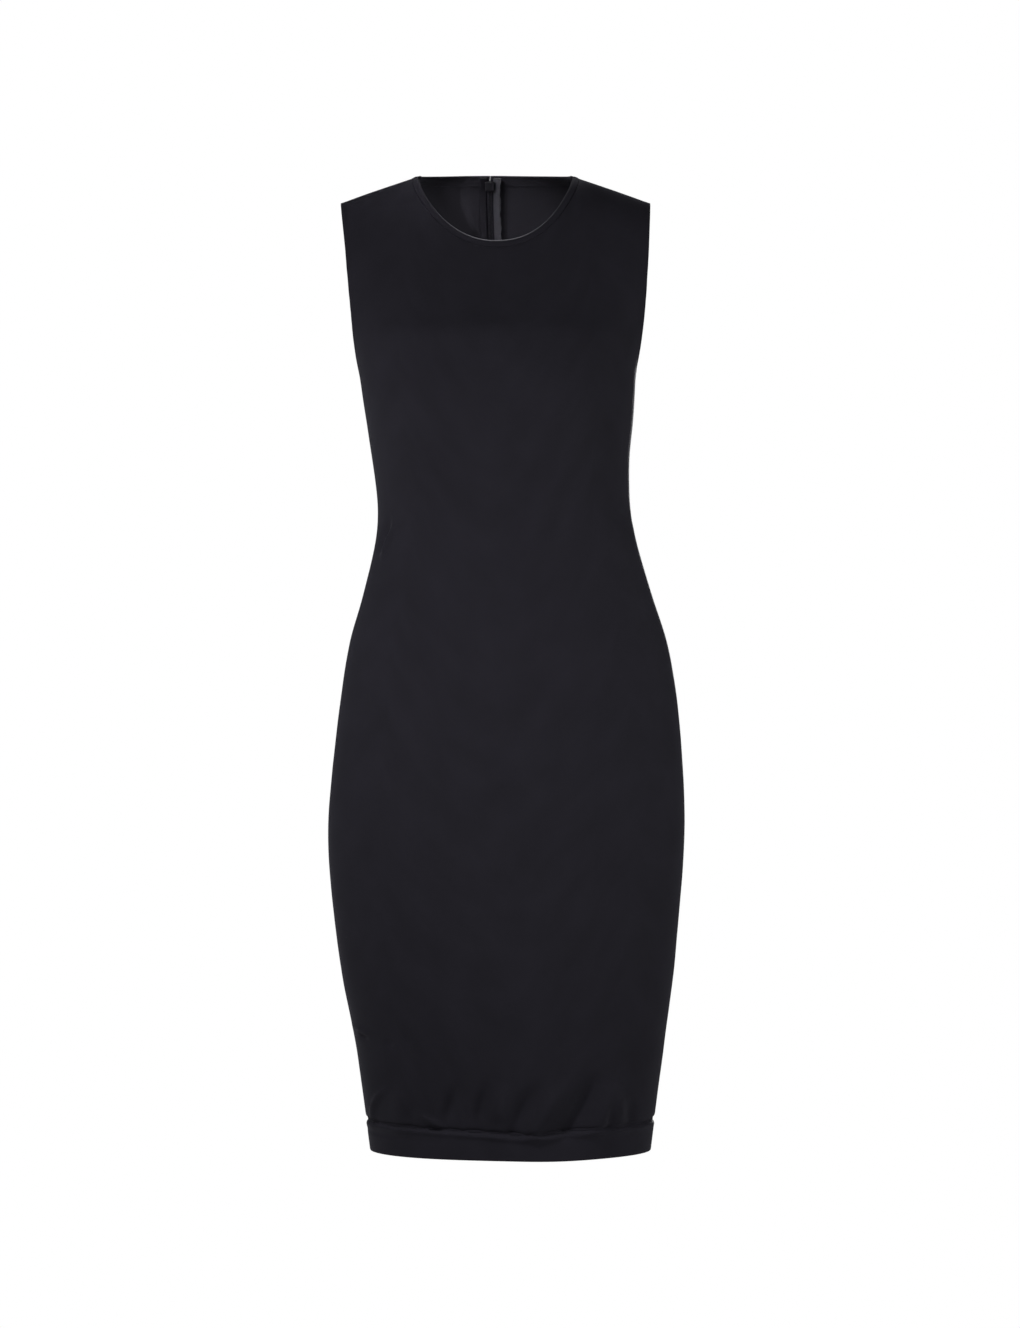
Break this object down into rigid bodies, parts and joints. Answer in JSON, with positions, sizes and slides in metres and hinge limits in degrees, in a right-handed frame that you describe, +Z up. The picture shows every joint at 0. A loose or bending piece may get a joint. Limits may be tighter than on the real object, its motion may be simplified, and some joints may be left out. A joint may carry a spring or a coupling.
{
  "type": "bodycon dress",
  "caption": "Sleeveless, round-necked, knee-length bodycon dress in matte black stretch knit, filled out as worn, with a hem band and a zip at the centre back.",
  "frame": {"origin": "midway between the two shoulder seams, at the middle of their height, where the wearer's shoulders carry the dress", "axes": "+Z up along the dress, -Y to its front, +X to the wearer's left"},
  "size_m": [0.3565, 0.243, 0.9757],
  "materials": {
    "knit": "matte smooth stretch knit",
    "zip_tape": "matte woven tape",
    "zip_coil": "satin nylon",
    "zip_metal": "black enamel, satin"
  },
  "bodies": {
    "dress": {"front_panel": "knit", "back_panel_right": "knit", "back_panel_left": "knit", "neck_binding": "knit", "hem_band_front": "knit", "hem_band_back": "knit", "zip_tape_right": "zip_tape", "zip_tape_left": "zip_tape", "zip_coil": "zip_coil", "zip_slider": "zip_metal"},
    "pull_tab": {"zip_pull_tab": "zip_metal"}
  },
  "joints": [
    {"name": "pull_tab_swing", "type": "hinge", "parent": "dress", "child": "pull_tab", "pos_m": [-0.0059, 0.0565, 0.01078], "axis": [1, 0, 0], "range_deg": [0, 165]}
  ]
}
